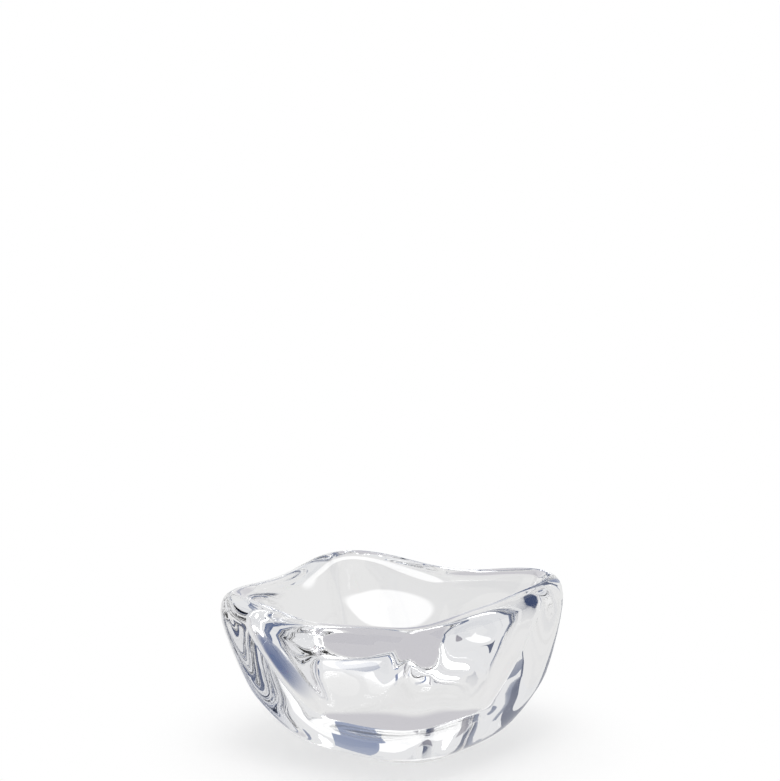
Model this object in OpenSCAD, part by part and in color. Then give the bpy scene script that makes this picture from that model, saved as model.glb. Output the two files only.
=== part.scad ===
// Four-cornered bowl of clear cast glass that holds a tealight.
// Millimetres, +Z up. The origin is the middle of the ground foot, and the front corner points along -Y.
// A reach is the distance of a flat from the centre line before the edges between the flats are rounded.

/* [Rim] */
// Reach of the flat across the right, back, left and front corner
corner_reach = [65, 67.5, 69.5, 67.5]; // [62:0.5:72]
// Height of the right, back, left and front corner above the table
corner_height = [61.5, 60, 60.5, 59]; // [57:0.5:66]
// Turn of each corner away from its quarter of the circle, in degrees
corner_turn = [13, 19, 16.5, 0.5]; // [-20:0.5:25]
// Reach of the flats along the four sides: right to back, back to left, left to front, front to right
side_reach = [51, 53, 56, 48.5]; // [47:0.5:57]
// Height of the same four sides above the table
side_height = [56.5, 58, 56.5, 59]; // [54:0.5:62]
// Crispness of the edges between the flats of the rim
rim_crisp = 14; // [10:2:30]
// Thickness of the rounded lip
lip_t = 8; // [6:0.5:9]

/* [Belly and foot] */
// Reach of the full belly below a corner
belly_corner = 59.5; // [58:0.5:61]
// Reach of the full belly below a side
belly_side = 49; // [48:0.5:51]
// Reach of the middle of the belly below a corner
mid_corner = 55; // [54:0.5:56.5]
// Reach of the middle of the belly below a side
mid_side = 45.5; // [44:0.5:46.5]
// Reach of the low belly below a corner
low_corner = 44.5; // [43:0.5:46]
// Reach of the low belly below the four sides
low_side = [32.5, 32.5, 32.5, 37]; // [31.5:0.5:38]
// Crispness of the edges between the flats of the belly
belly_crisp = 14; // [10:2:30]
// Reach of the foot below a corner
foot_corner = 29.5; // [28.5:0.5:31]
// Reach of the foot below the four sides
foot_side = [25.5, 25.5, 25.5, 28.5]; // [25:0.5:29]
// Crispness of the edges between the flats of the foot
foot_crisp = 14; // [10:2:30]

/* [Dish] */
// Height of the dish's flat floor above the table
floor_z = 22; // [19:0.5:24]
// Radius of the flat floor that the tealight stands on
floor_r = 20; // [19.5:0.5:21]

/* [Tealight] */
// Diameter of the cup at its mouth
cup_d = 38; // [36:0.5:38.5]
// Height of the cup
cup_h = 16; // [14:0.5:18]
// Thickness of the cup's wall and base
cup_wall = 0.8; // [0.6:0.1:1]
// Height of the block of wax
wax_h = 12; // [10:0.5:13]
// Gap between the wax and the cup's wall, which lets the candle drop in
wax_gap = 0.4; // [0.3:0.1:0.6]
// Diameter of the wick
wick_d = 1.6; // [1.2:0.1:2]
// Length of wick that stands above the wax
wick_free = 7; // [5:0.5:8]
// Diameter of the steel tab that holds the wick upright
tab_d = 13; // [10:0.5:16]

/* [Hidden] */

// The bowl's skin is a grid of columns around it and spline steps along each section.
columns = 120;
spline_steps = 3;
// Glass ground off under the foot to make it flat
foot_grind = 0.3;
// Inner rings of the foot and of the dish's floor, as shares of their radius
foot_rings = [0.5, 0.8];
floor_ring = 0.6;
// Heights of the low, middle and full belly, as shares of the rim's height
low_belly_z = 0.07;
mid_belly_z = 0.32;
full_belly_z = 0.43;
// Heights of the swell under the lip and of the throat inside it, as shares of the rim's height
shoulder_z = 0.88;
throat_z = 0.9;
// Swell under the lip and narrowing inside it, as shares of the lip's thickness
shoulder_out = 0.4;
throat_in = 1.25;
// Outer and inner edge of the crest, as shares of the lip's thickness
crest_in = [0.1, 0.9];
// How far the crest's control points stand above the rim, because the spline runs just below them
crest_pull = 0.6;
// High and low wall of the dish, as shares of the way out from the floor to the lip and up from the floor
high_dish = [0.62, 0.5];
low_dish = [0.28, 0.13];
// Width of the curve that leads from the floor into the dish's wall
floor_edge = 3;

// Directions of the corners and of the sides between them, anticlockwise from +X
corner_angle = [for (i = [0 : 3]) 90 * i + corner_turn[i]];
next_corner = [corner_angle[1], corner_angle[2], corner_angle[3], corner_angle[0] + 360];
side_angle = [for (i = [0 : 3]) (corner_angle[i] + next_corner[i]) / 2];

// Index of the last corner at or before direction a
function corner_before(a) =
    let (passed = [for (i = [0 : 3]) if (a >= corner_angle[i]) i])
    len(passed) == 0 ? 3 : passed[len(passed) - 1];

// Share of the way from that corner to the next one, 0 to 1
function way_along(a) =
    let (i = corner_before(a), from = corner_angle[i])
    ((a < from ? a + 360 : a) - from) / (next_corner[i] - from);

// Height of the rim in direction a, which rises from the middle of each side to its corners
function rim_height(a) =
    let (i = corner_before(a),
         way = way_along(a),
         nearer = way < 0.5 ? i : (i + 1) % 4)
    between(side_height[i], corner_height[nearer], pow(cos(180 * way), 2));

// Radius in direction a of a level outline with eight flats, one across each corner and one along each side.
// The crisper it is, the less the edges between the flats are rounded.
function outline(a, corner, side, crisp) =
    let (pull = [
            for (i = [0 : 3])
                pow(max(0, cos(a - corner_angle[i])) / corner[i], crisp)
                + pow(max(0, cos(a - side_angle[i])) / side[i], crisp)
        ])
    pow(pull[0] + pull[1] + pull[2] + pull[3], -1 / crisp);

function all_four(value) = [value, value, value, value];

function between(low, high, share) = low + (high - low) * share;

// Control points [radius, height] of the section in direction a: foot, belly, lip, dish, floor
function section(a) =
    let (top = rim_height(a),
         rim = outline(a, corner_reach, side_reach, rim_crisp),
         belly = outline(a, all_four(belly_corner), all_four(belly_side), belly_crisp),
         middle = outline(a, all_four(mid_corner), all_four(mid_side), belly_crisp),
         low = outline(a, all_four(low_corner), low_side, belly_crisp),
         foot = outline(a, all_four(foot_corner), foot_side, foot_crisp),
         inner = rim - lip_t)
    [
        [foot_rings[0] * foot, -foot_grind],
        [foot_rings[1] * foot, -foot_grind],
        [foot, -foot_grind],
        [low, low_belly_z * top],
        [middle, mid_belly_z * top],
        [belly, full_belly_z * top],
        [rim + shoulder_out * lip_t, shoulder_z * top],
        [rim - crest_in[0] * lip_t, top + crest_pull],
        [rim - crest_in[1] * lip_t, top + crest_pull],
        [rim - throat_in * lip_t, throat_z * top],
        [between(floor_r, inner, high_dish[0]), between(floor_z, top, high_dish[1])],
        [between(floor_r, inner, low_dish[0]), between(floor_z, top, low_dish[1])],
        [floor_r + floor_edge, floor_z],
        [floor_r, floor_z],
        [floor_ring * floor_r, floor_z]
    ];

// Point of a uniform cubic spline on its stretch k, with s from 0 to 1
function spline_point(p, k, s) =
    (pow(1 - s, 3) * p[k]
     + (3 * pow(s, 3) - 6 * s * s + 4) * p[k + 1]
     + (1 + 3 * s + 3 * s * s - 3 * pow(s, 3)) * p[k + 2]
     + pow(s, 3) * p[k + 3]) / 6;

// The spline that starts and ends on its first and last control point
function spline(p) =
    let (last = len(p) - 1,
         padded = concat([2 * p[0] - p[1]], p, [2 * p[last] - p[last - 1]]))
    [
        for (k = [0 : last - 1]) for (i = [0 : spline_steps - 1]) spline_point(padded, k, i / spline_steps),
        p[last]
    ];

function placed(p, a) = [p[0] * cos(a), p[0] * sin(a), p[1]];

module bowl_skin() {
    directions = [for (i = [0 : columns - 1]) 360 * i / columns];
    sections = [for (a = directions) [for (p = spline(section(a))) placed(p, a)]];
    rows = len(sections[0]);
    points = [for (s = sections) each s];
    skin = [
        for (i = [0 : columns - 1])
            let (here = i * rows, next = ((i + 1) % columns) * rows)
            for (r = [0 : rows - 2])
                each [[here + r, here + r + 1, next + r + 1], [here + r, next + r + 1, next + r]]
    ];
    foot_cap = [for (i = [0 : columns - 1]) i * rows];
    floor_cap = [for (i = [columns - 1 : -1 : 0]) i * rows + rows - 1];
    polyhedron(points, concat(skin, [foot_cap, floor_cap]), convexity = 6);
}

module glass_bowl() {
    slab = 2 * max(corner_reach);
    color([0.9, 0.93, 0.95, 0.4])
        difference() {
            bowl_skin();
            translate([-slab / 2, -slab / 2, -slab])
                cube(slab);
        }
}

// The cup tapers a little towards its base, which has a rounded edge.
cup_r = cup_d / 2;
cup_taper = 0.5;
cup_base_r = cup_r - cup_taper;
cup_edge = 1;
wax_z = floor_z + cup_wall;
wax_r = cup_base_r - cup_wall - wax_gap;

module candle_cup() {
    color([0.93, 0.95, 0.96, 0.5])
        translate([0, 0, floor_z])
            rotate_extrude($fn = 96)
                polygon([
                    [0, 0],
                    [cup_base_r - cup_edge, 0],
                    [cup_base_r, cup_edge],
                    [cup_r, cup_h],
                    [cup_r - cup_wall, cup_h],
                    [cup_base_r - cup_wall, cup_wall],
                    [0, cup_wall]
                ]);
}

// The steel tab is a thin disc with a neck that is crimped round the wick.
tab_t = 0.4;
neck_wall = 0.6;
neck_d = wick_d + 2 * neck_wall;
neck_h = 4;

module tab_shape() {
    cylinder(d = tab_d, h = tab_t, $fn = 64);
    cylinder(d = neck_d, h = neck_h, $fn = 48);
}

module wick_hole() {
    translate([0, 0, tab_t])
        cylinder(d = wick_d, h = wax_h + wick_free, $fn = 32);
}

module candle_wax() {
    dome = 0.6;
    color("ivory")
        translate([0, 0, wax_z])
            difference() {
                rotate_extrude($fn = 96)
                    polygon([
                        [0, 0],
                        [wax_r, 0],
                        [wax_r, wax_h - dome],
                        [wax_r - dome, wax_h],
                        [0, wax_h]
                    ]);
                tab_shape();
                wick_hole();
            }
}

module candle_wick() {
    color("linen")
        translate([0, 0, wax_z + tab_t])
            cylinder(d = wick_d, h = wax_h - tab_t + wick_free, $fn = 32);
}

module wick_tab() {
    color("silver")
        translate([0, 0, wax_z])
            difference() {
                tab_shape();
                wick_hole();
            }
}

glass_bowl();
candle_cup();
candle_wax();
candle_wick();
wick_tab();
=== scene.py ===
# %% [markdown]
# This lesson dresses a bowl of thick clear glass that holds a tealight. The bowl is one lump of cast glass
# with a squarish foot, four drawn-out corners and a dish in the top. A small clear cup with wax and a wick
# stands in the dish and lifts out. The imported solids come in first, because every new piece has to sit
# where they sit.

# %% Load the frame
import math

import bmesh
import bpy
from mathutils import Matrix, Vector


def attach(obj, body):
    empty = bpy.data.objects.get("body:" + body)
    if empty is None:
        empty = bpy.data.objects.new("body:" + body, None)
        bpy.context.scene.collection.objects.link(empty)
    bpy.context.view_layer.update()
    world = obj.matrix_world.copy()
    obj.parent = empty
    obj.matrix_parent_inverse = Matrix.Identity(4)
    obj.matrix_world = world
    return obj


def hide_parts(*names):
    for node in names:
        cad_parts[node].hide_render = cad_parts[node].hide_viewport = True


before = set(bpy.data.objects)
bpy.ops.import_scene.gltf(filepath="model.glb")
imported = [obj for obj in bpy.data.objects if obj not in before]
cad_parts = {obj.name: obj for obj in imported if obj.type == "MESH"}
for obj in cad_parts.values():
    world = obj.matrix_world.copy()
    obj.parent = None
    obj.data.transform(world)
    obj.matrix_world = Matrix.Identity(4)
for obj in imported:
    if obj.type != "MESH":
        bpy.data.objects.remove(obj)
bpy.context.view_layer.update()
MM = 0.001
scene = bpy.context.scene

# %% [markdown]
# The photograph looks down on the bowl at about sixteen degrees with a long lens, so its upright lines
# hardly converge. The bowl sits low in the picture because the camera aims at a point well above it.
# Shifting the lens would move the bowl down too. Turning the camera is chosen, because other views then
# have no shift.

# %% Camera
VIEW_DOWN = math.radians(15.55)
VIEW_DISTANCE = 830 * MM
VIEW_CENTRE = Vector((0, 0, 30)) * MM
AIM = Vector((-1.65, 0, 134.3)) * MM
LENS = 100
SENSOR = 36

camera = bpy.data.objects.new("camera", bpy.data.cameras.new("camera"))
camera.data.lens = LENS
camera.data.sensor_width = SENSOR
camera.data.clip_start = 10 * MM
camera.location = VIEW_CENTRE + VIEW_DISTANCE * Vector((0, -math.cos(VIEW_DOWN), math.sin(VIEW_DOWN)))
camera.rotation_euler = (AIM - camera.location).to_track_quat("-Z", "Y").to_euler()
scene.collection.objects.link(camera)
scene.camera = camera
print("camera at", [round(value, 3) for value in camera.location])

# %% [markdown]
# Shader maths reads best as plain expressions. This small class wraps one socket of a material: adding,
# subtracting or multiplying puts the Math node in for us, and one method adds any other node. A few more
# methods stand for the nodes that nearly every finish needs.

# %% A socket that can be added, multiplied and mixed
class Socket:
    def __init__(self, tree, out):
        self.tree = tree
        self.out = out

    def node(self, kind, settings=None, **values):
        return new_node(self.tree, kind, settings, **values)

    def maths(self, operation, first, second):
        return self.node("ShaderNodeMath", {"operation": operation}, **{"0": first, "1": second})

    def __add__(self, other):
        return self.maths("ADD", self, other)

    def __sub__(self, other):
        return self.maths("SUBTRACT", self, other)

    def __rsub__(self, other):
        return self.maths("SUBTRACT", other, self)

    def __mul__(self, other):
        return self.maths("MULTIPLY", self, other)

    __radd__ = __add__
    __rmul__ = __mul__

    def ramp(self, start, end, low=0.0, high=1.0):
        """Low up to start, high from end on, and a smooth rise between them."""
        return self.node("ShaderNodeMapRange", {"interpolation_type": "SMOOTHSTEP"}, Value=self,
                         From_Min=start, From_Max=end, To_Min=low, To_Max=high)

    def colour(self, first, second):
        """A colour between two, with this value as the share of the second. The first may be a socket."""
        start = first if isinstance(first, Socket) else (*first, 1)
        mix = {"0": self, "6": start, "7": (*second, 1)}
        return self.node("ShaderNodeMix", {"data_type": "RGBA"}, out=2, **mix)

    def length(self):
        return self.node("ShaderNodeVectorMath", {"operation": "LENGTH"}, out=1, **{"0": self})

    def noise(self, scale, detail, squeeze=(1, 1, 1)):
        """Cloudy values over these coordinates. An axis that is squeezed draws the clouds out along it."""
        where = self.node("ShaderNodeMapping", Vector=self, Scale=squeeze)
        return self.node("ShaderNodeTexNoise", Vector=where, Scale=scale, Detail=detail)

    def bump(self, strength, depth):
        return self.node("ShaderNodeBump", Strength=strength, Distance=depth, Height=self)


def new_node(tree, kind, settings=None, out=0, **values):
    node = tree.nodes.new(kind)
    for name, value in (settings or {}).items():
        setattr(node, name, value)
    for name, value in values.items():
        socket = node.inputs[int(name) if name.isdigit() else name.replace("_", " ")]
        if isinstance(value, Socket):
            tree.links.new(value.out, socket)
        else:
            socket.default_value = value
    return Socket(tree, node.outputs[out])


print("shader maths is ready")

# %% [markdown]
# Every material starts empty and ends in one output node. Most of them are laid out on Object coordinates,
# which stay with the piece when it is lifted. Generated coordinates would stretch with the size of the
# piece.

# %% Starting and ending a material
def new_material(name):
    material = bpy.data.materials.new(name)
    material.use_nodes = True
    material.node_tree.nodes.clear()
    return material, material.node_tree


def object_place(tree):
    return Socket(tree, tree.nodes.new("ShaderNodeTexCoord").outputs["Object"])


def light_path(tree, name):
    return Socket(tree, tree.nodes.new("ShaderNodeLightPath").outputs[name])


def seen_by_glass(tree):
    """1 for a ray that comes off the glass or through it, and 0 for any other."""
    off_glass = light_path(tree, "Is Glossy Ray")
    return off_glass.maths("MAXIMUM", off_glass, light_path(tree, "Is Transmission Ray"))


def either(share, first, second):
    return share.node("ShaderNodeMixShader", **{"0": share, "1": first, "2": second})


def end_with(shader, kind="ShaderNodeOutputMaterial"):
    shader.tree.links.new(shader.out, shader.tree.nodes.new(kind).inputs["Surface"])


print("materials can be started and ended")

# %% [markdown]
# The bowl stands in a white room. A room as white as the picture's background would leave clear glass
# without any tone. So rays that come through the glass or off it see a room that is a little greyer, the
# light that falls on things is dimmer still, and only the camera sees pure white. A Light Path node tells
# them apart.

# %% Room
ROOM_LIGHT = 0.62
ROOM_IN_GLASS = 0.8
ROOM_SEEN = 1.0

world = bpy.data.worlds.new("studio")
scene.world = world
world.use_nodes = True
sky = world.node_tree
sky.nodes.clear()
dim = new_node(sky, "ShaderNodeBackground", Color=(1, 1, 1, 1), Strength=ROOM_LIGHT)
greyer = new_node(sky, "ShaderNodeBackground", Color=(0.98, 0.985, 1, 1), Strength=ROOM_IN_GLASS)
pure = new_node(sky, "ShaderNodeBackground", Color=(1, 1, 1, 1), Strength=ROOM_SEEN)
room = either(seen_by_glass(sky), dim, greyer)
room = either(light_path(sky, "Is Camera Ray"), room, pure)
end_with(room, "ShaderNodeOutputWorld")
scene.view_settings.view_transform = "Standard"
print("the room lights with", ROOM_LIGHT, "and shows in the glass with", ROOM_IN_GLASS)

# %% [markdown]
# Glass shows whatever lies round it, so the paper under the bowl has three spots that only the glass sees.
# The bowl gathers the top light into a bright pool on the paper behind it, and the dish shows that pool as
# a white oval. Tracing that light through the glass would take very long, so the pool is painted. A patch
# of blue paper at the left gives the left corner its navy streaks. Under the foot the paper lies in shade,
# which shows as grey bands under the front lip and above the foot. All three are ellipses with a soft edge.

# %% What the glass sees on the paper
PAPER_IN_GLASS = (0.8, 0.796, 0.792)
POOL_LIGHT = (1.05, 1.045, 1.04)
BLUE_PAPER = (0.13, 0.17, 0.3)
FOOT_SHADE = (0.58, 0.57, 0.6)


def spot(place, middle, reach, edge):
    """1 inside an ellipse on the sheet and 0 outside it, fading out from the given share of its reach."""
    from_middle = place.node("ShaderNodeMapping", {"vector_type": "TEXTURE"}, Vector=place,
                             Location=(*middle, 0), Scale=(*reach, 1))
    return 1 - from_middle.length().ramp(edge, 1.0)


white_paper, tree = new_material("white_paper")
place = object_place(tree)
pool = spot(place, middle=(-0.0065, 0.125), reach=(0.025, 0.0145), edge=0.85)
blue = spot(place, middle=(-0.1, 0.005), reach=(0.065, 0.045), edge=0.7)
under_foot = spot(place, middle=(0, 0), reach=(0.028, 0.028), edge=0.8)
shown = pool.colour(PAPER_IN_GLASS, POOL_LIGHT)
shown = blue.colour(shown, BLUE_PAPER)
shown = under_foot.colour(shown, FOOT_SHADE)
in_glass = place.node("ShaderNodeEmission", Color=shown, Strength=1.0)
print("the glass sees the paper as", PAPER_IN_GLASS, "with a pool, a blue patch and a shade on it")

# %% [markdown]
# For the camera the sheet is plain white paper. Light falls on it near the bowl as on any paper, so a faint
# soft shadow shows there. Farther out it fades to pure white, and the edge of the sheet is never seen. A
# shadow catcher is meant for a picture that is laid over another one, so plain paper is used here.

# %% Sheet of paper
SHEET_R = 3.0
SHADOW_FROM = 0.04
SHADOW_TO = 0.1
WHITE_AT_BOWL = 0.55


def new_stage(name, maker, material):
    mesh = bpy.data.meshes.new(name)
    maker.to_mesh(mesh)
    maker.free()
    mesh.materials.append(material)
    thing = bpy.data.objects.new(name, mesh)
    scene.collection.objects.link(thing)
    return thing


grain = place.noise(scale=900.0, detail=2.0)
lit = place.node("ShaderNodeBsdfDiffuse", Color=grain.colour((0.9, 0.9, 0.905), (0.94, 0.94, 0.94)))
white = place.node("ShaderNodeEmission", Color=(1, 1, 1, 1), Strength=1.0)
whiteness = place.length().ramp(SHADOW_FROM, SHADOW_TO, low=WHITE_AT_BOWL)
paper = either(light_path(tree, "Is Camera Ray") * whiteness, lit, white)
paper = either(seen_by_glass(tree), paper, in_glass)
end_with(paper)
circle = bmesh.new()
bmesh.ops.create_circle(circle, cap_ends=True, segments=96, radius=SHEET_R)
new_stage("sheet", circle, white_paper)
print("the sheet is", 2 * SHEET_R, "m across, and a shadow shows within", SHADOW_TO, "m of the bowl's middle")

# %% [markdown]
# Clear glass has no colour of its own, so what it shows is the studio. A large soft light hangs above the
# bowl. It isn't mirrored in the glass, so the dish stays free of glints. Cards of dark grey and blue stand
# round it, as in a photographer's studio, and the glass bends them into the dark lines along its edges and
# the blue facets near its foot. Behind them a white backdrop keeps the rest bright. The cards are there for
# the glass only: the camera doesn't see them, and they throw no shadow.

# %% Lights and cards
BOWL_MIDDLE = Vector((0, 0, 30)) * MM


def facing_bowl(thing, place):
    thing.location = place
    thing.rotation_euler = (BOWL_MIDDLE - thing.location).to_track_quat("-Z", "Y").to_euler()


def softbox(name, place, size, power):
    lamp = bpy.data.lights.new(name, "AREA")
    lamp.shape = "ELLIPSE"
    lamp.size, lamp.size_y = size
    lamp.energy = power
    holder = bpy.data.objects.new(name, lamp)
    facing_bowl(holder, place)
    holder.visible_camera = False
    holder.visible_glossy = False
    scene.collection.objects.link(holder)


def card(name, place, size, colour, strength=1.0):
    material, tree = new_material(name)
    end_with(new_node(tree, "ShaderNodeEmission", Color=(*colour, 1), Strength=strength))
    grid = bmesh.new()
    bmesh.ops.create_grid(grid, x_segments=1, y_segments=1, size=0.5)
    bmesh.ops.scale(grid, verts=grid.verts, vec=(*size, 1))
    thing = new_stage(name, grid, material)
    facing_bowl(thing, place)
    thing.visible_camera = thing.visible_diffuse = thing.visible_shadow = False
    print(name, "is", size[0], "by", size[1], "m")


softbox("top_softbox", place=(0.0, -0.15, 0.75), size=(0.42, 0.42), power=2)
card("camera_side_card", place=(-0.8, -1.2, 1.1), size=(1.7, 1.2), colour=(0.16, 0.19, 0.28))
card("left_card", place=(-1.2, -0.3, 0.45), size=(1.4, 1.0), colour=(0.05, 0.07, 0.14))
card("right_card", place=(1.1, 0.2, 0.5), size=(0.6, 0.6), colour=(0.1, 0.14, 0.26))
card("back_card", place=(0.11, 1.6, 0.62), size=(0.26, 1.05), colour=(0.2, 0.25, 0.4))
card("back_left_card", place=(-0.92, 1.31, 0.62), size=(0.3, 0.8), colour=(0.3, 0.29, 0.33))
card("backdrop", place=(0, 2.5, 0.7), size=(5, 1.5), colour=(1, 1, 1), strength=1.08)

# %% [markdown]
# Cast glass has no sharp edge anywhere except round its ground foot. Level outlines of the bowl are squares
# with cut-off corners: a flat across each corner, a flat along each side and soft edges between them. A
# square with a bevel would need its corners moved one by one. A formula takes the direction and reach of
# every flat instead, and these are the same sizes as in the solid.

# %% Level outlines of the glass
CORNER_ANGLE = (13, 109, 196.5, 270.5)
NEXT_CORNER = (*CORNER_ANGLE[1:], CORNER_ANGLE[0] + 360)
SIDE_ANGLE = [(one + other) / 2 for one, other in zip(CORNER_ANGLE, NEXT_CORNER)]
CRISPNESS = 14


def outline(angle, corner, side):
    """Radius of a level outline from the reach of its flats at the corners and along the sides."""
    flats = [*zip(CORNER_ANGLE, corner), *zip(SIDE_ANGLE, side)]
    pull = [max(0, math.cos(math.radians(angle - middle))) / reach for middle, reach in flats]
    return sum(value ** CRISPNESS for value in pull) ** (-1 / CRISPNESS)


CORNER_REACH = (65, 67.5, 69.5, 67.5)
SIDE_REACH = (51, 53, 56, 48.5)
print("rim at the corners:", [round(outline(angle, CORNER_REACH, SIDE_REACH)) for angle in CORNER_ANGLE], "mm")

# %% [markdown]
# The rim isn't level. While the glass was soft its corners were drawn up, so the rim dips along each side.
# A squared cosine rises from the middle of a side to the corner at either end and is level at both, so the
# dips run smoothly into the corners.

# %% Height of the rim
CORNER_HEIGHT = (61.5, 60, 60.5, 59)
SIDE_HEIGHT = (56.5, 58, 56.5, 59)


def between(low, high, share):
    return low + (high - low) * share


def rim_height(angle):
    last = max((i for i in range(4) if angle >= CORNER_ANGLE[i]), default=3)
    passed = (angle - CORNER_ANGLE[last]) % 360
    share = passed / (NEXT_CORNER[last] - CORNER_ANGLE[last])
    nearer = last if share < 0.5 else (last + 1) % 4
    return between(SIDE_HEIGHT[last], CORNER_HEIGHT[nearer], math.cos(math.pi * share) ** 2)


print("rim at the sides:", [round(rim_height(angle), 1) for angle in SIDE_ANGLE], "mm high")

# %% [markdown]
# A section through the glass is one smooth curve: up the belly, over the thick lip and down the dish to a
# flat floor for the tealight. Fifteen control points are enough for it, because subdivision makes the curve
# between them. Their places hang on a few sizes: the reach of the foot and of the belly, and the thickness
# of the lip.

# %% Belly and foot
FOOT_CORNER, FOOT_SIDE = 4 * [29.5], (25.5, 25.5, 25.5, 28.5)
LOW_CORNER, LOW_SIDE = 4 * [44.5], (32.5, 32.5, 32.5, 37)
MIDDLE_CORNER, MIDDLE_SIDE = 4 * [55], 4 * [45.5]
BELLY_CORNER, BELLY_SIDE = 4 * [59.5], 4 * [49]
# Heights of the low belly, its middle and its full width, as shares of the rim's height
LOW_Z, MIDDLE_Z, BELLY_Z = 0.07, 0.32, 0.43
FOOT_RINGS = (0.5, 0.8)
FOOT_GRIND = 0.3


def outside(angle, top):
    """Control points from the foot up to the full belly, as radius and height in mm."""
    foot = outline(angle, FOOT_CORNER, FOOT_SIDE)
    return [
        *((ring * foot, -FOOT_GRIND) for ring in FOOT_RINGS),
        (foot, -FOOT_GRIND),
        (outline(angle, LOW_CORNER, LOW_SIDE), LOW_Z * top),
        (outline(angle, MIDDLE_CORNER, MIDDLE_SIDE), MIDDLE_Z * top),
        (outline(angle, BELLY_CORNER, BELLY_SIDE), BELLY_Z * top),
    ]


print("foot and belly have", len(outside(0, rim_height(0))), "points in each direction")

# %% [markdown]
# The lip is thick and swells out a little, with a throat inside it that leads down into the dish. The
# crest's control points stand just above the rim, because the smooth curve runs below them. The dish is
# given as shares of the way from its floor to the lip, so it follows the rim round.

# %% Lip, dish and whole section
LIP = 8
# Swell under the lip, outer and inner edge of its crest and throat inside it, as shares of its thickness
SWELL_OUT, CREST_OUTER, CREST_INNER, THROAT_IN = 0.4, 0.1, 0.9, 1.25
SWELL_Z, THROAT_Z = 0.88, 0.9
CREST_PULL = 0.6
FLOOR_Z = 22
FLOOR_R = 20
FLOOR_EDGE = 3
FLOOR_RING = 0.6
HIGH_DISH = (0.62, 0.5)
LOW_DISH = (0.28, 0.13)


def section(angle):
    """Control points of one direction from the foot to the dish's floor, as radius and height in mm."""
    top = rim_height(angle)
    rim = outline(angle, CORNER_REACH, SIDE_REACH)
    walls = [
        (between(FLOOR_R, rim - LIP, out), between(FLOOR_Z, top, up)) for out, up in (HIGH_DISH, LOW_DISH)
    ]
    return [
        *outside(angle, top),
        (rim + SWELL_OUT * LIP, SWELL_Z * top),
        (rim - CREST_OUTER * LIP, top + CREST_PULL),
        (rim - CREST_INNER * LIP, top + CREST_PULL),
        (rim - THROAT_IN * LIP, THROAT_Z * top),
        *walls,
        (FLOOR_R + FLOOR_EDGE, FLOOR_Z),
        (FLOOR_R, FLOOR_Z),
        (FLOOR_RING * FLOOR_R, FLOOR_Z),
    ]


print("section towards the front:", [(round(r, 1), round(z, 1)) for r, z in section(270)])

# %% [markdown]
# The section is spun round the upright axis to make a cage. Spinning alone gives a round bowl, so every
# point of the cage then moves out to the section of its own direction. Each point remembers its row for
# that.

# %% Cage
COLUMNS = 144
UP = (0, 0, 1)
cage = bmesh.new()
row_of = cage.verts.layers.int.new("row")
strand = []
for row, (radius, height) in enumerate(section(0)):
    point = cage.verts.new((radius * MM, 0, height * MM))
    point[row_of] = row
    strand.append(point)
links = [cage.edges.new(pair) for pair in zip(strand, strand[1:])]
bmesh.ops.spin(cage, geom=strand + links, axis=UP, cent=(0, 0, 0), angle=math.tau, steps=COLUMNS,
               use_merge=True)
for point in cage.verts:
    angle = math.degrees(math.atan2(point.co.y, point.co.x)) % 360
    radius, height = section(angle)[point[row_of]]
    turn = math.radians(angle)
    point.co = Vector((radius * math.cos(turn), radius * math.sin(turn), height)) * MM
bmesh.ops.holes_fill(cage, edges=[edge for edge in cage.edges if edge.is_boundary], sides=0)
bmesh.ops.recalc_face_normals(cage, faces=cage.faces)
print("cage:", len(cage.verts), "points")

# %% [markdown]
# Subdivision turns the cage into the same smooth curve that the section describes. The result is taken as a
# new mesh rather than left as a modifier, because the foot has to be cut after it is smooth.

# %% Smooth glass
rough_mesh = bpy.data.meshes.new("cage")
cage.to_mesh(rough_mesh)
cage.free()
rough = bpy.data.objects.new("cage", rough_mesh)
scene.collection.objects.link(rough)
polish = rough.modifiers.new("polish", "SUBSURF")
polish.levels = polish.render_levels = 2
polished = bpy.data.meshes.new_from_object(rough.evaluated_get(bpy.context.evaluated_depsgraph_get()))
bpy.data.objects.remove(rough)
print("polished glass:", len(polished.vertices), "points")

# %% [markdown]
# Grinding comes last, as it does in the workshop: a level cut takes the bottom off and leaves a flat foot.
# All the rest is shaded smooth, and only the ground edge stays crisp.

# %% Ground foot
CRISP_FOLD = math.radians(25)
FACING_DOWN = -0.9999
NEAR_TABLE = 0.01 * MM


def new_piece(name, maker, body, replaced):
    mesh = bpy.data.meshes.new(name)
    maker.to_mesh(mesh)
    maker.free()
    piece = bpy.data.objects.new(name, mesh)
    scene.collection.objects.link(piece)
    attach(piece, body)
    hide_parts(replaced)
    print(name, "has", len(mesh.polygons), "faces")
    return piece


def smooth_between(maker, sharpest):
    """Shade all faces smooth, but keep every edge that folds by more than the given angle crisp."""
    for face in maker.faces:
        face.smooth = True
    for edge in maker.edges:
        edge.smooth = edge.calc_face_angle(0) < sharpest


lump = bmesh.new()
lump.from_mesh(polished)
bmesh.ops.bisect_plane(lump, geom=lump.verts[:] + lump.edges[:] + lump.faces[:], plane_co=(0, 0, 0),
                       plane_no=UP, clear_inner=True)
bmesh.ops.holes_fill(lump, edges=[edge for edge in lump.edges if edge.is_boundary], sides=0)
bmesh.ops.recalc_face_normals(lump, faces=lump.faces)
smooth_between(lump, CRISP_FOLD)
for face in lump.faces:
    if face.normal.z < FACING_DOWN and face.calc_center_median().z < NEAR_TABLE:
        for edge in face.edges:
            edge.smooth = False
glass = new_piece("glass", lump, "holder", "glass_bowl")

# %% [markdown]
# The glass is almost colourless. Its fire-polished skin waves a little where it cooled against the mould,
# and the ground foot is finely frosted. The waves go in as bump, because they are far flatter than the
# mesh.

# %% Clear glass
GLASS_IOR = 1.52
FROST = 0.3


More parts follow.
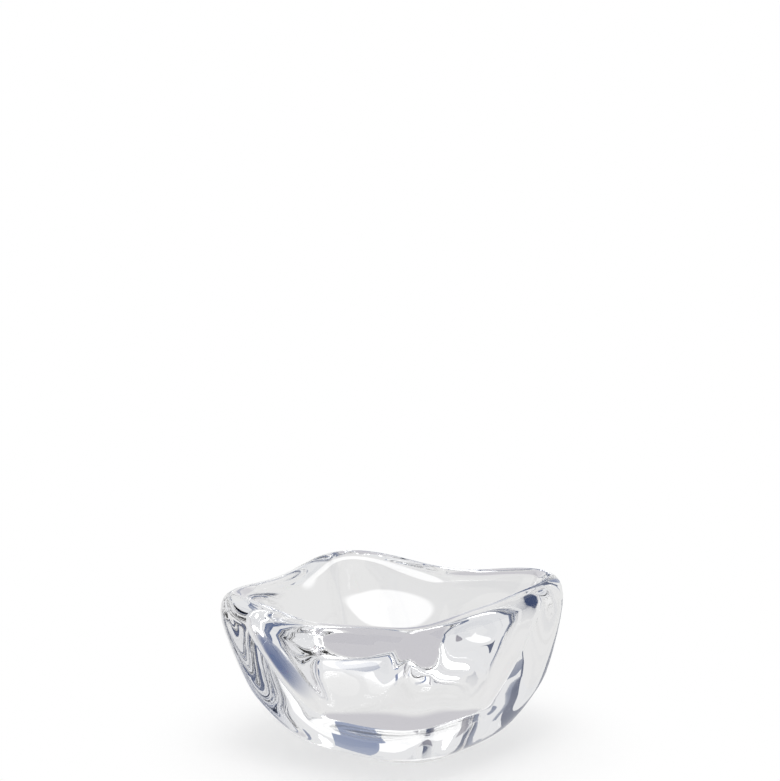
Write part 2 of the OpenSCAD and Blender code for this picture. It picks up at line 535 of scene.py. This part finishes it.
def dress(piece, material, place, **values):
    """Close a material with one Principled skin and put it on the piece."""
    end_with(place.node("ShaderNodeBsdfPrincipled", **values))
    piece.data.materials.append(material)
    print(piece.name, "is dressed in", material.name, "made of", len(place.tree.nodes), "nodes")


clear_glass, tree = new_material("clear_glass")
place = object_place(tree)
wave = place.noise(scale=45.0, detail=1.0)
height = place.node("ShaderNodeSeparateXYZ", out=2, **{"0": place})
dress(glass, clear_glass, place, IOR=GLASS_IOR, Transmission_Weight=1.0,
      Base_Color=wave.colour((0.985, 0.992, 1), (1, 1, 1)),
      Roughness=height.ramp(0.02 * MM, 0.12 * MM, low=FROST, high=0.0),
      Normal=wave.bump(strength=0.1, depth=0.4 * MM))

# %% [markdown]
# The tealight's cup is moulded from clear plastic in one shot. It tapers so that it leaves its mould, and
# its lip is rounded. A cone with its inside cut out would do, but a half section that is spun round the
# axis shows every wall at once. A bevel then takes the sharpness off its edges.

# %% Cup
CUP_R = 19
CUP_BASE_R = 18.5
CUP_H = 16
CUP_WALL = 0.8
CUP_EDGE = 1
SPIN_STEPS = 96
SHARP_FOLD = math.radians(30)
SHADED_FOLD = math.radians(40)


def spun(profile, base, closed=False):
    """A round solid from a half section of radius and height in mm, set on the given height."""
    maker = bmesh.new()
    points = [maker.verts.new((radius * MM, 0, (base + height) * MM)) for radius, height in profile]
    ring = points[1:] + points[:1] if closed else points[1:]
    edges = [maker.edges.new(pair) for pair in zip(points, ring)]
    bmesh.ops.spin(maker, geom=points + edges, axis=UP, cent=(0, 0, 0), angle=math.tau, steps=SPIN_STEPS,
                   use_merge=True)
    bmesh.ops.remove_doubles(maker, verts=maker.verts, dist=0.001 * MM)
    bmesh.ops.recalc_face_normals(maker, faces=maker.faces)
    return maker


def soften(maker, width, segments=3):
    """Bevel every sharp fold by the given width in mm."""
    folds = [edge for edge in maker.edges if edge.calc_face_angle(0) > SHARP_FOLD]
    bmesh.ops.bevel(maker, geom=folds, offset=width * MM, segments=segments, profile=0.5, affect="EDGES",
                    material=-1)
    smooth_between(maker, SHADED_FOLD)


cup_shape = spun([
    (0, 0),
    (CUP_BASE_R - CUP_EDGE, 0),
    (CUP_BASE_R, CUP_EDGE),
    (CUP_R, CUP_H),
    (CUP_R - CUP_WALL, CUP_H),
    (CUP_BASE_R - CUP_WALL, CUP_WALL),
    (0, CUP_WALL),
], FLOOR_Z)
soften(cup_shape, width=0.25)
cup = new_piece("cup", cup_shape, "cup", "candle_cup")

# %% [markdown]
# The plastic ran up the mould as it filled, which leaves faint upright streaks in its tone and its gloss. A
# noise that is drawn out upwards gives them. Scratches would look like wear instead.

# %% Clear plastic
PLASTIC_IOR = 1.49

clear_plastic, tree = new_material("clear_cup")
place = object_place(tree)
flow = place.noise(scale=300.0, detail=2.0, squeeze=(1, 1, 0.2))
dress(cup, clear_plastic, place, IOR=PLASTIC_IOR, Transmission_Weight=1.0,
      Base_Color=flow.colour((0.96, 0.975, 0.985), (1, 1, 1)),
      Roughness=flow.ramp(0.3, 0.7, low=0.02, high=0.07),
      Normal=flow.bump(strength=0.05, depth=0.2 * MM))

# %% [markdown]
# The wax was poured round the wick and drew down as it set, so its top is a shallow hollow that climbs a
# little at the wick. Its half section is a closed loop with room inside for the wick and for the steel tab
# that holds it. A solid block would cut through both.

# %% Wax
WAX_Z = FLOOR_Z + CUP_WALL
WAX_R = 17.3
WAX_H = 11.95
EDGE_IN, EDGE_DOWN = 0.6, 0.55
ROOM_INSIDE = 0.05
WICK_R = 0.8
TAB_R = 6.5
TAB_T = 0.4
NECK_R = 1.4
NECK_H = 4
# Radius and depth of the points across the hollow
HOLLOW = ((14, 0.15), (9, 0.35), (4, 0.35), (2, 0.2))

wax_shape = spun([
    (TAB_R + ROOM_INSIDE, 0),
    (WAX_R, 0),
    (WAX_R, WAX_H - EDGE_DOWN),
    (WAX_R - EDGE_IN, WAX_H),
    *((radius, WAX_H - depth) for radius, depth in HOLLOW),
    (WICK_R + ROOM_INSIDE, WAX_H),
    (WICK_R + ROOM_INSIDE, NECK_H + ROOM_INSIDE),
    (NECK_R + ROOM_INSIDE, NECK_H + ROOM_INSIDE),
    (NECK_R + ROOM_INSIDE, TAB_T + ROOM_INSIDE),
    (TAB_R + ROOM_INSIDE, TAB_T + ROOM_INSIDE),
], WAX_Z, closed=True)
soften(wax_shape, width=0.15)
wax = new_piece("wax", wax_shape, "candle", "candle_wax")

# %% [markdown]
# Candle wax is white with a hint of cream. It lets light in a little way, and as it cools it gets a cloudy
# bloom and small pale flecks. Some subsurface light gives the depth. Noise and a Voronoi pattern give the
# bloom and the flecks, added as plain numbers before they become a colour.

# %% White wax
candle_wax, tree = new_material("wax")
place = object_place(tree)
bloom = place.noise(scale=350.0, detail=4.0)
fleck = place.node("ShaderNodeTexVoronoi", Vector=place, Scale=900.0)
tone = (0.7 * bloom + 0.3 * fleck).ramp(0.3, 0.75)
dress(wax, candle_wax, place, Subsurface_Weight=0.3, Subsurface_Scale=4 * MM,
      Base_Color=tone.colour((0.9, 0.885, 0.845), (0.945, 0.94, 0.915)),
      Roughness=bloom.ramp(0.3, 0.7, low=0.32, high=0.5),
      Normal=bloom.bump(strength=0.15, depth=0.3 * MM))

# %% [markdown]
# The wick is three cotton strands twisted together and dipped in wax. Three curves with a round bevel would
# give the same cord. Here a small circle that turns and climbs at the same time leaves one strand behind
# it, which needs one operator for each strand.

# %% Wick
CLEARANCE = 0.02
WICK_FOOT = WAX_Z + TAB_T + CLEARANCE
WICK_LENGTH = 18.5
WICK_TURNS = 3.5
STRAND_R = 0.4
STRAND_OUT = 0.38
STRAND_STEPS = 72
CORD_FOLD = math.radians(60)

cord = bmesh.new()
climb = Vector((0, 0, WICK_LENGTH / STRAND_STEPS)) * MM
for lean in (0, math.tau / 3, 2 * math.tau / 3):
    ring = bmesh.ops.create_circle(cord, segments=12, radius=STRAND_R * MM)["verts"]
    start = Vector((STRAND_OUT * math.cos(lean), STRAND_OUT * math.sin(lean), WICK_FOOT)) * MM
    bmesh.ops.translate(cord, verts=ring, vec=start)
    loop = list({edge for point in ring for edge in point.link_edges})
    bmesh.ops.spin(cord, geom=ring + loop, axis=UP, cent=(0, 0, 0), dvec=climb, angle=WICK_TURNS * math.tau,
                   steps=STRAND_STEPS)
bmesh.ops.holes_fill(cord, edges=[edge for edge in cord.edges if edge.is_boundary], sides=0)
bmesh.ops.recalc_face_normals(cord, faces=cord.faces)
smooth_between(cord, CORD_FOLD)
wick = new_piece("wick", cord, "candle", "candle_wick")

# %% [markdown]
# Bleached cotton is off-white and matt, and its fibres run along the strands. They are too fine to model,
# so a noise that is drawn out along the wick carries their colour and their bump.

# %% Cotton
cotton, tree = new_material("cotton")
place = object_place(tree)
fibre = place.noise(scale=6000.0, detail=3.0, squeeze=(1, 1, 0.25))
dress(wick, cotton, place,
      Base_Color=fibre.colour((0.8, 0.77, 0.7), (0.93, 0.91, 0.86)),
      Roughness=fibre.ramp(0.3, 0.7, low=0.6, high=0.85),
      Normal=fibre.bump(strength=0.4, depth=0.1 * MM))

# %% [markdown]
# The steel tab is pressed from tinned sheet: a disc with a neck drawn up in its middle, which holds the
# wick. It stays under the wax and keeps the wick upright until the last of the wax has melted. It is round
# all the way up, so it is spun like the cup, with a finer bevel because the sheet is thin.

# %% Tab
NECK_BORE = WICK_R + CLEARANCE

tab_shape = spun([
    (0, 0),
    (TAB_R, 0),
    (TAB_R, TAB_T),
    (NECK_R, TAB_T),
    (NECK_R, NECK_H),
    (NECK_BORE, NECK_H),
    (NECK_BORE, TAB_T),
    (0, TAB_T),
], WAX_Z)
soften(tab_shape, width=0.08, segments=2)
tab = new_piece("tab", tab_shape, "candle", "wick_tab")

# %% [markdown]
# Tinned sheet is bright and has fine lines from the rolling mill, all in one direction. A noise that is
# drawn out along X gives the lines, and it changes the metal's tone and gloss a little from line to line.

# %% Tinned steel
tinned_steel, tree = new_material("tinned_steel")
place = object_place(tree)
rolled = place.noise(scale=2500.0, detail=2.0, squeeze=(0.1, 1, 1))
dress(tab, tinned_steel, place, Metallic=1.0,
      Base_Color=rolled.colour((0.7, 0.71, 0.72), (0.8, 0.81, 0.82)),
      Roughness=rolled.ramp(0.3, 0.7, low=0.25, high=0.42),
      Normal=rolled.bump(strength=0.1, depth=0.1 * MM))

# %% [markdown]
# Light crosses many skins of glass before it gets out, so it is given many bounces. Light that is trapped
# between mirrored skins gets fewer, and where it runs out the glass shows its dark streaks.

# %% Bounces
scene.cycles.max_bounces = 24
scene.cycles.transmission_bounces = 24
scene.cycles.glossy_bounces = 10
print("light may bounce", scene.cycles.max_bounces, "times")

# %% [markdown]
# Last, the view layer is brought up to date.

# %% Update
bpy.context.view_layer.update()
